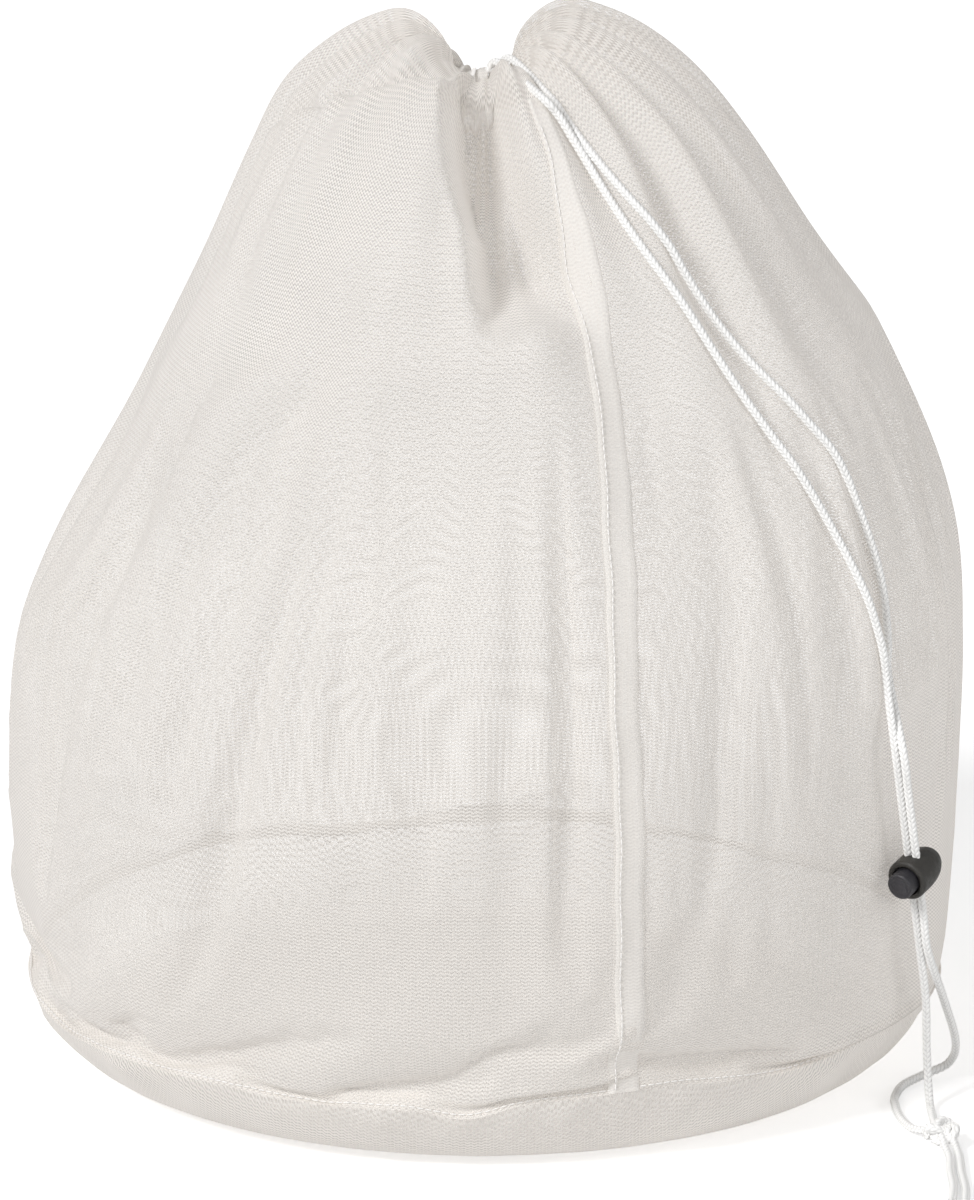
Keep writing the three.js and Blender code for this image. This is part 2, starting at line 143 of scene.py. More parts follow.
def wall_points():
    """The wall as rows by columns of points, before it settles."""
    profile = spline(OUTLINE, ROWS)
    azimuth = np.arange(COLUMNS) * 360 / COLUMNS
    angle = np.radians(azimuth)[None, :]
    radius, height, lean, dip = [profile[:, k][:, None] for k in range(4)]
    share = np.linspace(0, 1, ROWS)[:, None]
    crest_row = int(np.argmax(profile[:, 1]))
    past_crest = smoothstep(crest_row / ROWS, 1, share)
    a = wrap(azimuth)[None, :]

    crest_height = profile[crest_row, 1]
    travel = np.where(np.arange(ROWS)[:, None] <= crest_row, height, 2 * crest_height - height)

    out = np.zeros((ROWS, COLUMNS))
    neck = smoothstep(352, 392, height) * (1 - 0.85 * past_crest)
    # the recess below the cord's exit, between the left fold and the seam's petal
    left_edge = np.interp(height, [350, 400, 440, 462], [0, -3, -11, -16])
    right_edge = np.interp(height, [350, 400, 440, 462], [21, 17, 12, 11])
    inside = smoothstep(left_edge - 2.5, left_edge + 3.5, a)
    inside = inside * (1 - smoothstep(right_edge - 7, right_edge + 3, a))
    depth = np.minimum(38, 0.48 * radius)
    out -= depth * inside * neck
    out += 2.6 * inside * neck * pleats(azimuth, 44, 2.0, 51)[None, :]
    # the ledge at the recess's foot, and the large fold to its left
    out += 8 * bell(height, 346 + 0.45 * a, 12) * smoothstep(-34, -12, a) * (1 - smoothstep(6, 19, a))
    fold_top = np.interp(a, [-90, -78, -55, -28, -10], [410, 419, 441, 455, 458])
    lobe = smoothstep(338, 385, height) * smoothstep(-84, -30, a)
    lobe = lobe * (1 - smoothstep(left_edge - 2, left_edge + 1.5, a))
    out += 13 * lobe * (1 - smoothstep(fold_top - 2, fold_top + 5, travel))
    out -= 4 * bell(travel, fold_top + 5, 4) * smoothstep(-88, -74, a) * (1 - smoothstep(-26, -16, a))
    # the tuft pushed up beside the cinch
    out += 9 * bell(a, -45, 12) * bell(travel, 463, 8)
    # the petal over the side seam and the crease in the right hump
    out += 8 * bell(a, right_edge + 8, 7) * smoothstep(330, 380, height) * (1 - past_crest)
    crease = bell(a, np.interp(height, [370, 440], [42, 52]), 4)
    out -= 5 * crease * smoothstep(350, 400, height) * (1 - past_crest)
    # the long slanted fold down the left side
    ridge = np.interp(height, [185, 205, 240, 270, 300, 330], [-82, -71, -61, -56, -48, -37])
    along_ridge = smoothstep(170, 215, height) * (1 - smoothstep(320, 352, height))
    out += along_ridge * (6 * bell(a, ridge - 5, 7) - 6 * bell(a, ridge + 6, 5))
    # folds at the back and sides that the gathers send down
    near = smoothstep(300, 440, height)
    middle = smoothstep(215, 380, height)
    calm = 1 - 0.75 * bell(a, -30, 34)
    out += 3.4 * near * calm * (1 - 0.3 * past_crest) * pleats(azimuth, 25, 3.5, 3)[None, :]
    out += 4.6 * middle * (1 - 0.5 * past_crest) * calm * pleats(azimuth, 11, 3.0, 5)[None, :]
    out += 2.6 * smoothstep(120, 300, height) * calm * pleats(azimuth, 6, 2.2, 9)[None, :]
    # broad bulges of the full wall
    low = 1 - smoothstep(200, 300, height)
    out += 1.6 * low * pleats(azimuth + 0.35 * height, 5, 1.5, 21) * smoothstep(28, 60, height)
    out += 1.3 * low * pleats(azimuth - 0.5 * height, 8, 2.5, 22) * smoothstep(28, 60, height)

    rise = np.gradient(height[:, 0])[:, None]
    outward = np.gradient(radius[:, 0])[:, None]
    norm = np.hypot(rise, outward)
    new_radius = radius + lean * np.sin(angle) + out * rise / norm
    # the two humps close over the drawn hem
    new_radius = new_radius - 11 * np.sin(angle) ** 2 * bell(travel, 470, 13)
    innermost = 10.0
    new_radius = innermost + np.logaddexp(0, (new_radius - innermost) / 3.0) * 3.0
    backward = (1 - np.cos(angle)) / 2
    saddle = dip * np.cos(angle) ** 2 * (1 + BACK_DIP * backward) + HEM_TILT * backward * past_crest
    new_height = height - saddle - out * outward / norm
    base_shift = (seam_height(azimuth)[None, :] - OUTLINE[0, 1]) * (1 - smoothstep(0, 0.16, share))
    new_height = new_height + base_shift
    return np.stack([new_radius * np.sin(angle), -new_radius * np.cos(angle), new_height], axis=2)


# ---- Meshes ----

def mesh_object(name, vertices, faces, uv=None, smooth=True):
    """An object from millimetre vertices; uv gives one weave coordinate pair, in mm, per face corner."""
    mesh = bpy.data.meshes.new(name)
    mesh.from_pydata((np.asarray(vertices, float) * MM).tolist(), [], [list(map(int, f)) for f in faces])
    if uv is not None:
        layer = mesh.uv_layers.new(name="weave")
        layer.data.foreach_set("uv", np.asarray(uv, float).ravel())
    mesh.polygons.foreach_set("use_smooth", [smooth] * len(mesh.polygons))
    mesh.update()
    piece = bpy.data.objects.new(name, mesh)
    bpy.context.scene.collection.objects.link(piece)
    return piece


def grid_faces(rows, columns, wraps):
    spans = columns if wraps else columns - 1
    row = np.arange(rows - 1)[:, None]
    column = np.arange(spans)[None, :]
    here = row * columns + column
    right = row * columns + (column + 1) % columns
    return np.stack([here, right, right + columns, here + columns], axis=2).reshape(-1, 4)


def grid_uv(u_edges, v_rows):
    """Corner coordinates for grid_faces: u has one more value than there are face columns."""
    rows = len(v_rows)
    spans = len(u_edges) - 1
    u0, u1 = (np.broadcast_to(edge[None, :], (rows - 1, spans)) for edge in (u_edges[:-1], u_edges[1:]))
    v0, v1 = (np.broadcast_to(row[:, None], (rows - 1, spans)) for row in (v_rows[:-1], v_rows[1:]))
    corners = [np.stack(pair, 2) for pair in ((u0, v0), (u1, v0), (u1, v1), (u0, v1))]
    return np.stack(corners, 2).reshape(-1, 2)


def sheet(name, points, u_edges, v_rows, wraps=True):
    rows, columns = points.shape[:2]
    faces = grid_faces(rows, columns, wraps)
    return mesh_object(name, points.reshape(-1, 3), faces, grid_uv(u_edges, v_rows))


def doubled(values, axis, wraps):
    """Catmull-Rom midpoints between neighbours along one axis."""
    values = np.moveaxis(values, axis, 0)
    if wraps:
        before, after, later = (np.roll(values, shift, axis=0) for shift in (1, -1, -2))
        middle = (9 * (values + after) - before - later) / 16
        result = np.empty((2 * len(values),) + values.shape[1:])
        result[0::2] = values
        result[1::2] = middle
    else:
        padded = np.concatenate([2 * values[:1] - values[1:2], values, 2 * values[-1:] - values[-2:-1]])
        middle = (9 * (padded[1:-2] + padded[2:-1]) - padded[:-3] - padded[3:]) / 16
        result = np.empty((2 * len(values) - 1,) + values.shape[1:])
        result[0::2] = values
        result[1::2] = middle
    return np.moveaxis(result, 0, axis)


# ---- Settling the wall as cloth ----

FABRIC_EXTRA = 1.05  # the cloth is this much wider than the shape it is sewn to


def settle(points):
    """Lets the wall settle as cloth between its base seam and its hem, full of laundry."""
    body = sheet("settling_wall", points, np.arange(COLUMNS + 1.0), np.arange(float(ROWS)))
    rest = points.copy()
    extra = 1 + (FABRIC_EXTRA - 1) * smoothstep(0, 0.1, np.linspace(0, 1, ROWS))[:, None]
    rest[:, :, 0] *= extra
    rest[:, :, 1] *= extra
    body.shape_key_add(name="Basis")
    key = body.shape_key_add(name="cut")
    key.data.foreach_set("co", (rest * MM).ravel())
    group = body.vertex_groups.new(name="held")
    share = np.linspace(0, 1, ROWS)
    hold = 0.10 + 0.6 * smoothstep(0.5, 0.68, share) + 0.3 * smoothstep(0.84, 0.93, share)
    hold[0] = 1.0
    for row in range(ROWS):
        group.add(range(row * COLUMNS, (row + 1) * COLUMNS), float(min(hold[row], 1)), "REPLACE")
    cloth = body.modifiers.new("cloth", "CLOTH")
    settings = cloth.settings
    settings.quality = 6
    settings.mass = 0.12
    settings.tension_stiffness = 12
    settings.compression_stiffness = 12
    settings.shear_stiffness = 4
    settings.bending_stiffness = 0.25
    settings.vertex_group_mass = "held"
    settings.pin_stiffness = 0.6
    settings.rest_shape_key = key
    settings.use_pressure = True
    settings.uniform_pressure_force = 2.0
    settings.effector_weights.gravity = 0.6
    cloth.collision_settings.use_collision = False
    cloth.collision_settings.use_self_collision = False
    frames = 22
    cloth.point_cache.frame_end = frames
    scene = bpy.context.scene
    for number in range(1, frames + 1):
        scene.frame_set(number)
    evaluated = body.evaluated_get(bpy.context.evaluated_depsgraph_get())
    settled = np.empty(ROWS * COLUMNS * 3)
    evaluated.data.vertices.foreach_get("co", settled)
    scene.frame_set(1)
    bpy.data.objects.remove(body, do_unlink=True)
    settled = settled.reshape(ROWS, COLUMNS, 3) / MM
    # the broad outline is kept as drawn, and the wrinkles come from the cloth
    settled = settled + blurred(points - settled, 7, 9)
    move = settled - points
    length = np.linalg.norm(move, axis=2, keepdims=True)
    cap = 14.0
    return points + move * np.minimum(1, cap / np.maximum(length, 1e-9))


def blurred(values, around_width, up_width):
    """A Gaussian blur of a wall grid: around it closes on itself, up it stops at the ends."""
    result = np.zeros_like(values)
    total = 0.0
    for shift in range(-2 * around_width, 2 * around_width + 1):
        weight = math.exp(-0.5 * (shift / around_width) ** 2)
        result += weight * np.roll(values, shift, axis=1)
        total += weight
    values = result / total
    result = np.zeros_like(values)
    row = np.arange(len(values))
    total = 0.0
    for shift in range(-2 * up_width, 2 * up_width + 1):
        weight = math.exp(-0.5 * (shift / up_width) ** 2)
        result += weight * values[np.clip(row + shift, 0, len(values) - 1)]
        total += weight
    return result / total


def pressed_by_lock(points):
    """The wall bears in a little behind the stretch where the lock slides."""
    x, y, height = points[:, :, 0], points[:, :, 1], points[:, :, 2]
    radius = np.hypot(x, y)
    azimuth = np.degrees(np.arctan2(x, -y))
    lock_azimuth = 57.5
    touched = 1 - smoothstep(8, 15, np.abs(azimuth - lock_azimuth))
    touched = touched * smoothstep(70, 92, height) * (1 - smoothstep(172, 196, height))
    excess = np.maximum(radius - LOCK_PATH_RADIUS, 0)
    shrink = 1 - touched * excess / radius
    return points * np.stack([shrink, shrink, np.ones_like(shrink)], axis=2)


designed = wall_points()
weave_rows = distances_along(designed.mean(axis=1))  # mesh rows follow the travel of the rings' centres
wall_grid = pressed_by_lock(settle(designed))


def on_wall(azimuth, share, lift=0.0):
    """A point on the settled wall, lifted along the outward normal; azimuth in degrees, share 0 to 1."""
    def sample(az, sh):
        column = (az % 360) / 360 * COLUMNS
        row = np.clip(sh, 0, 1) * (ROWS - 1)
        c0 = int(math.floor(column))
        r0 = min(int(math.floor(row)), ROWS - 2)
        fc, fr = column - c0, row - r0
        p = wall_grid
        c0, c1 = c0 % COLUMNS, (c0 + 1) % COLUMNS
        below = p[r0, c0] * (1 - fc) + p[r0, c1] * fc
        above = p[r0 + 1, c0] * (1 - fc) + p[r0 + 1, c1] * fc
        return below * (1 - fr) + above * fr
    here = sample(azimuth, share)
    if not lift:
        return here
    around = sample(azimuth + 1.2, share) - sample(azimuth - 1.2, share)
    up = sample(azimuth, min(share + 0.008, 1)) - sample(azimuth, max(share - 0.008, 0))
    normal = np.cross(around, up)
    return here + lift * normal / max(np.linalg.norm(normal), 1e-9)


# ---- Materials ----

def new_material(name, base, roughness):
    material = bpy.data.materials.new(name)
    material.use_nodes = True
    nodes = material.node_tree.nodes
    shader = nodes["Principled BSDF"]
    shader.inputs["Base Color"].default_value = (*base, 1)
    shader.inputs["Roughness"].default_value = roughness
    return material, nodes, material.node_tree.links, shader


def add_node(nodes, kind, **values):
    node = nodes.new(kind)
    for key, value in values.items():
        setattr(node, key, value)
    return node


def maths(nodes, links, operation, first, second=None, third=None):
    node = add_node(nodes, "ShaderNodeMath", operation=operation)
    for slot, value in enumerate((first, second, third)):
        if value is None:
            continue
        if isinstance(value, (int, float)):
            node.inputs[slot].default_value = value
        else:
            links.new(value, node.inputs[slot])
    return node.outputs[0]


def ramp(nodes, links, value, low, high, out_low=0.0, out_high=1.0):
    node = add_node(nodes, "ShaderNodeMapRange", interpolation_type="SMOOTHSTEP")
    links.new(value, node.inputs["Value"])
    node.inputs["From Min"].default_value = low
    node.inputs["From Max"].default_value = high
    node.inputs["To Min"].default_value = out_low
    node.inputs["To Max"].default_value = out_high
    return node.outputs["Result"]


def object_noise(nodes, links, scale, detail=2.0):
    cloud = add_node(nodes, "ShaderNodeTexNoise")
    cloud.inputs["Scale"].default_value = scale
    cloud.inputs["Detail"].default_value = detail
    place = add_node(nodes, "ShaderNodeTexCoord")
    links.new(place.outputs["Object"], cloud.inputs["Vector"])
    return cloud.outputs["Fac"]


def tinted(nodes, links, base, dark, bright, factor):
    """A colour that drifts between a darker and a brighter share of the base."""
    tint = add_node(nodes, "ShaderNodeMix", data_type="RGBA")
    tint.inputs["A"].default_value = (*[c * dark for c in base], 1)
    tint.inputs["B"].default_value = (*[min(1, c * bright) for c in base], 1)
    links.new(factor, tint.inputs["Factor"])
    return tint.outputs["Result"]


def add_bump(nodes, links, shader, height, strength, distance):
    bump = add_node(nodes, "ShaderNodeBump")
    bump.inputs["Strength"].default_value = strength
    bump.inputs["Distance"].default_value = distance
    links.new(height, bump.inputs["Height"])
    links.new(bump.outputs["Normal"], shader.inputs["Normal"])


def mesh_material(name, base, hole_depth, row_pitch=1.6, zigzag=3.0, swing=0.78, glow=0.45):
    """Knitted tricot mesh: zigzag rows of yarn with narrow holes between them."""
    material, nodes, links, shader = new_material(name, base, 0.75)
    uv = add_node(nodes, "ShaderNodeUVMap", uv_map="weave")
    split = add_node(nodes, "ShaderNodeSeparateXYZ")
    links.new(uv.outputs["UV"], split.inputs[0])
    u, v = split.outputs[0], split.outputs[1]
    wave = maths(nodes, links, "PINGPONG", u, zigzag / 2)
    wave = maths(nodes, links, "MULTIPLY", wave, swing / (zigzag / 2))
    row = maths(nodes, links, "ADD", v, wave)
    across = maths(nodes, links, "PINGPONG", row, row_pitch / 2)
    slit = ramp(nodes, links, across, row_pitch * 0.14, row_pitch * 0.36)
    bar = maths(nodes, links, "PINGPONG", maths(nodes, links, "ADD", u, zigzag * 0.25), zigzag / 4)
    hole = maths(nodes, links, "MULTIPLY", slit, ramp(nodes, links, bar, 0.0, zigzag * 0.09, 0.45, 1.0))
    facing = add_node(nodes, "ShaderNodeLayerWeight")
    facing.inputs["Blend"].default_value = 0.35
    open_share = maths(nodes, links, "SUBTRACT", 1.0, facing.outputs["Facing"])
    hole = maths(nodes, links, "MULTIPLY", hole, maths(nodes, links, "MULTIPLY", open_share, hole_depth))
    colour = tinted(nodes, links, base, 0.93, 1.05, object_noise(nodes, links, 16.0, 3.0))
    links.new(colour, shader.inputs["Base Color"])
    shader.inputs["Sheen Weight"].default_value = 0.25
    add_bump(nodes, links, shader, maths(nodes, links, "SUBTRACT", 1.0, across), 0.12, 0.0003)
    glowing = add_node(nodes, "ShaderNodeBsdfTranslucent")
    links.new(colour, glowing.inputs["Color"])
    yarn = add_node(nodes, "ShaderNodeMixShader")
    yarn.inputs[0].default_value = glow
    links.new(shader.outputs[0], yarn.inputs[1])
    links.new(glowing.outputs[0], yarn.inputs[2])
    clear = add_node(nodes, "ShaderNodeBsdfTransparent")
    cover = add_node(nodes, "ShaderNodeMixShader")
    links.new(hole, cover.inputs[0])
    links.new(yarn.outputs[0], cover.inputs[1])
    links.new(clear.outputs[0], cover.inputs[2])
    links.new(cover.outputs[0], nodes["Material Output"].inputs["Surface"])
    return material


def yarn_material(name, base, scale, roughness=0.7):
    """Twisted bright yarn for the cord and the stitches, with painted shade darkening the braid's grooves.
    """
    material, nodes, links, shader = new_material(name, base, roughness)
    fibre = object_noise(nodes, links, scale, 4.0)
    relief = add_node(nodes, "ShaderNodeAttribute", attribute_name="relief")
    # painted shade: the colour darkens to 0.76 of itself in the braid's grooves, where relief is low
    painted_groove_shade = ramp(nodes, links, relief.outputs["Fac"], 0.15, 0.8, 0.76, 1.0)
    shade = add_node(nodes, "ShaderNodeVectorMath", operation="SCALE")
    links.new(tinted(nodes, links, base, 0.86, 1.06, fibre), shade.inputs[0])
    links.new(painted_groove_shade, shade.inputs["Scale"])
    links.new(shade.outputs["Vector"], shader.inputs["Base Color"])
    shader.inputs["Sheen Weight"].default_value = 0.15
    add_bump(nodes, links, shader, fibre, 0.4, 0.0003)
    return material


def moulded_material(name, base, roughness, grain):
    """Moulded plastic with a fine pebbled grain, a little worn."""
    material, nodes, links, shader = new_material(name, base, roughness)
    place = add_node(nodes, "ShaderNodeTexCoord")
    pebble = add_node(nodes, "ShaderNodeTexVoronoi")
    pebble.inputs["Scale"].default_value = grain
    links.new(place.outputs["Object"], pebble.inputs["Vector"])
    wear = object_noise(nodes, links, grain * 0.2)
    rough = ramp(nodes, links, wear, 0.3, 0.7, roughness - 0.1, roughness + 0.12)
    links.new(rough, shader.inputs["Roughness"])
    links.new(tinted(nodes, links, base, 0.8, 1.5, wear), shader.inputs["Base Color"])
    add_bump(nodes, links, shader, pebble.outputs["Distance"], 0.5, 0.0002)
    return material


def steel_material(name):
    material, nodes, links, shader = new_material(name, (0.55, 0.56, 0.58), 0.3)
    shader.inputs["Metallic"].default_value = 1.0
    drawn = object_noise(nodes, links, 900.0)
    links.new(ramp(nodes, links, drawn, 0.3, 0.7, 0.22, 0.42), shader.inputs["Roughness"])
    return material


MATERIALS = {
    "mesh_fabric": mesh_material("white_mesh", (0.925, 0.897, 0.865), 0.66),
    "seam_fabric": mesh_material("doubled_mesh", (0.955, 0.935, 0.91), 0.16),
    "sewing_thread": yarn_material("thread", (0.9, 0.88, 0.86), 2500.0, 0.6),
    "braided_cord": yarn_material("braid", (0.96, 0.95, 0.935), 1500.0),
    "lock_plastic": moulded_material("pebbled_black", (0.026, 0.024, 0.021), 0.5, 1800.0),
    "button_plastic": moulded_material("button_black", (0.022, 0.021, 0.025), 0.42, 2400.0),
    "spring_steel": steel_material("spring_wire"),
}


def dress(piece, slot):
    piece.data.materials.clear()
    piece.data.materials.append(MATERIALS[slot])


def sink_with(piece, body):
    """Rides a body with a mesh of its own, so every soft piece on that body moves with it as one."""
    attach(piece, body)
    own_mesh(piece)


# ---- Fabric pieces ----

def build_wall():
    fine = doubled(doubled(wall_grid, 1, True), 0, False)
    rows, columns = fine.shape[:2]
    u_edges = np.linspace(0, WEAVE_AROUND, columns + 1)
    v_rows = np.interp(np.linspace(0, 1, rows), np.linspace(0, 1, ROWS), weave_rows)
    piece = sheet("mesh_wall", fine, u_edges, v_rows)
    dress(piece, "mesh_fabric")
    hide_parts("wall")
    sink_with(piece, "bag")


BASE_LEVEL = 0.6  # height of the flat middle of the base
BASE_SEAM_HEIGHT = 31
# radius and height of the base panel, from its centre to the seam
BASE_OUTLINE = [(0.5, BASE_LEVEL), (80, BASE_LEVEL), (150, BASE_LEVEL), (166, 1.4),
                (181, 7.5), (191, 17.5), (197, 26), (SEAM_RADIUS, BASE_SEAM_HEIGHT)]


def build_base():
    """The base panel: flat on the floor, turned up to the seam with small gathers at its edge."""
    columns = COLUMNS * 2
    azimuth = np.arange(columns) * 360 / columns
    angle = np.radians(azimuth)
    seam_row = doubled(wall_grid[:1], 1, True)[0]
    seam_radius = np.hypot(seam_row[:, 0], seam_row[:, 1])
    outline = spline(BASE_OUTLINE, 70)
    radius = outline[:, 0][:, None]
    height = outline[:, 1][:, None]
    upturn = smoothstep(160, SEAM_RADIUS, radius)
    points_radius = radius * (1 + upturn * (seam_radius[None, :] / SEAM_RADIUS - 1))
    rise_share = (seam_row[:, 2][None, :] - BASE_LEVEL) / (BASE_SEAM_HEIGHT - BASE_LEVEL)
    points_height = BASE_LEVEL + (height - BASE_LEVEL) * (1 + upturn * (rise_share - 1))
    gather = upturn * (1 - smoothstep(196, SEAM_RADIUS, radius))
    ripple = 1.3 * pleats(azimuth, 34, 5.0, 41)[None, :] + 1.6 * pleats(azimuth, 15, 4.0, 42)[None, :]
    points_radius = points_radius + gather * ripple
    points_height = np.maximum(points_height + gather * 0.5 * ripple, 0.3)
    flat = [points_radius * np.sin(angle), -points_radius * np.cos(angle)]
    points = np.stack([*flat, points_height], axis=2)
    faces = grid_faces(len(outline), columns, True)
    corner = faces.ravel()
    weave = [(radius * np.sin(angle)).ravel()[corner], (radius * np.cos(angle)).ravel()[corner]]
    piece = mesh_object("mesh_base", points.reshape(-1, 3), faces, np.stack(weave, 1))
    dress(piece, "mesh_fabric")
    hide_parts("base_panel")
    sink_with(piece, "bag")


def build_base_allowance():
    """The doubled allowance that stands up inside the wall above the base seam."""
    columns = COLUMNS * 2
    shares = np.linspace(0.0, 0.0175, 7)
    rows = []
    for share in shares:
        depths = [0.7 + 0.4 * math.sin(column * 0.9) * share / shares[-1] for column in range(columns)]
        rows.append([on_wall(column * 360 / columns, share, -depth) for column, depth in enumerate(depths)])
    u_edges = np.linspace(0, WEAVE_AROUND, columns + 1)
    piece = sheet("base_allowance", np.array(rows), u_edges, np.linspace(0, 9, len(shares)))
    dress(piece, "seam_fabric")
    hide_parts("base_seam_allowance")
    sink_with(piece, "bag")


SEAM_TOP = 0.9  # share of the wall where the seam disappears into the gathers


# distance across the band and lift off the wall
BAND_SECTION = [(-2.6, -0.5), (-1.2, 0.5), (0.0, 1.1), (1.4, 0.7), (4.5, 0.5),
                (8.0, 0.55), (10.4, 0.8), (11.2, 0.2), (11.3, -0.6)]


def seam_wander(share):
    return 0.5 * math.sin(share * 31) + 0.35 * math.sin(share * 83 + 1)


def seam_azimuth(share):
    """The seam twists a little to the right where the fullness ends below the gathers."""
    return SEAM_AZIMUTH + 3.0 * bell(share, 0.7, 0.22)


def seam_azimuth_step(share, across):
    """Degrees that stand for a distance across the seam, at a share of the wall."""
    radius = max(np.hypot(*on_wall(SEAM_AZIMUTH, share)[:2]), 30)
    return math.degrees(across / radius)


def eased(points, passes):
    """Points evened out along their first axis; the two ends stay."""
    for _ in range(passes):
        middle = (points[:-2] + 2 * points[1:-1] + points[2:]) / 4
        points = np.concatenate([points[:1], middle, points[-1:]])
    return points


def build_side_band():
    """Two layers of seam allowance, pressed to the right of the stitches, and a rolled edge."""
    shares = np.linspace(0.0, SEAM_TOP, 150)
    rows = []
    for share in shares:
        narrowing = 1 - 0.45 * smoothstep(0.6, 0.9, share)
        row = []
        for across, lift in BAND_SECTION:
            step = seam_azimuth_step(share, across * narrowing + seam_wander(share))
            row.append(on_wall(seam_azimuth(share) + step, share, lift))
        rows.append(row)
    across = np.array([station[0] for station in BAND_SECTION])
    weave = np.interp(shares, np.linspace(0, 1, ROWS), weave_rows)
    piece = sheet("side_band", eased(np.array(rows), 4), across, weave, wraps=False)
    dress(piece, "seam_fabric")
    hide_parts("side_seam_band")
    sink_with(piece, "bag")


def capped_faces(rings, sides):
    """Faces of a closed stack of rings; the two end points follow the rings' own vertices."""
    faces = [tuple(face) for face in grid_faces(rings, sides, True)]
    first, last = rings * sides, rings * sides + 1
    top = (rings - 1) * sides
    for side in range(sides):
        faces.append((first, (side + 1) % sides, side))
        faces.append((last, top + side, top + (side + 1) % sides))
    return faces


def tube_points(path, radius, sides, bulge=None):
    """Rings of points around a path; bulge(angle, distance) adds to the radius."""
    path = np.asarray(path, float)
    tangent = np.gradient(path, axis=0)
    tangent /= np.linalg.norm(tangent, axis=1, keepdims=True)
    side = np.cross(tangent[0], (0.3, 0.2, 0.9))
    side /= np.linalg.norm(side)
    along = distances_along(path)
    angle = np.arange(sides) * 2 * math.pi / sides
    rings = []
    for k in range(len(path)):
        side = side - tangent[k] * np.dot(side, tangent[k])
        side /= np.linalg.norm(side)
        other = np.cross(tangent[k], side)
        size = radius if np.isscalar(radius) else radius[k]
        reach = size + (bulge(angle, along[k]) if bulge else 0)
        reach = np.broadcast_to(reach, (sides,))
        ring = np.outer(np.cos(angle) * reach, side) + np.outer(np.sin(angle) * reach, other)
        rings.append(path[k] + ring)
    return np.array(rings), along


def capped_tube(path, radius, sides, bulge=None):
    """Vertices, faces and relief of a closed tube; relief is 1 on a yarn and 0 in a groove."""
    rings, along = tube_points(path, radius, sides, bulge)
    vertices = np.concatenate([rings.reshape(-1, 3), [path[0]], [path[-1]]])
    relief = np.ones(len(vertices))
    if bulge:
        angle = np.arange(sides) * 2 * math.pi / sides
        raised = [1 + bulge(angle, distance) / GROOVE for distance in along]
        relief[:len(rings) * sides] = np.concatenate(raised)
    return vertices, capped_faces(len(rings), sides), relief


def join_parts(name, parts):
    """One object from (vertices, faces, relief) parts; relief is kept as a point attribute."""
    vertices, faces, offset = [], [], 0
    for part_vertices, part_faces, _ in parts:
        vertices.append(np.asarray(part_vertices))
        faces.extend(tuple(index + offset for index in face) for face in part_faces)
        offset += len(part_vertices)
    piece = mesh_object(name, np.concatenate(vertices), faces)
    relief = piece.data.attributes.new("relief", "FLOAT", "POINT")
    relief.data.foreach_set("value", np.concatenate([part[2] for part in parts]))
    return piece


def stitches(name, path, length=2.9, gap=0.7, thick=0.34):
    """A row of separate stitches that dip into the fabric at their ends, along a dense path."""
    path = np.asarray(path, float)
    along = distances_along(path)
    parts = []
    start = 0.5
    while start + length < along[-1]:
        distances = np.linspace(start, start + length, 6)
        centre = np.stack([np.interp(distances, along, path[:, k]) for k in range(3)], axis=1)
        size = thick * np.array([0.45, 0.9, 1.0, 1.0, 0.9, 0.45])
        parts.append(capped_tube(centre, size, 6))
        start += length + gap
    return join_parts(name, parts)


def build_side_stitches():
    rows = []
    for share in np.linspace(0.002, SEAM_TOP - 0.03, 420):
        step = seam_azimuth_step(share, 0.2 + seam_wander(share))
        rows.append(on_wall(seam_azimuth(share) + step, share, 1.45))
    piece = stitches("side_stitches", eased(np.array(rows), 32))
    dress(piece, "sewing_thread")
    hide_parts("side_seam_thread")
    sink_with(piece, "bag")


def build_base_stitches():
    ring = [on_wall(azimuth, 0.0035, 0.45) for azimuth in np.linspace(0, 360, 900)]
    piece = stitches("base_stitches", ring)
    dress(piece, "sewing_thread")
    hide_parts("base_seam_thread")
    sink_with(piece, "bag")


# ---- The gathered hem ----

HEM_CENTRE = np.array([-2.0, -2.0, HEM_LEVEL - 1])
HEM_RADIUS = 13.0
HEM_CLOTH = 40.0  # millimetres of fabric around the channel


def hem_drop(angle):
    """How far the tilted hem lies below its front."""
    return HEM_TILT * (1 - np.cos(angle)) / 2


def hem_fold(azimuth):
    """The channel's large pleats, from -1 to 1."""
    return pleats(azimuth, 17, 4.0, 61)


def on_hem(radius, angle, rise=0.0):
    """A point at a radius and an angle about the tilted hem's centre."""
    height = rise - hem_drop(angle)
    return HEM_CENTRE + np.array([radius * math.sin(angle), -radius * math.cos(angle), height])


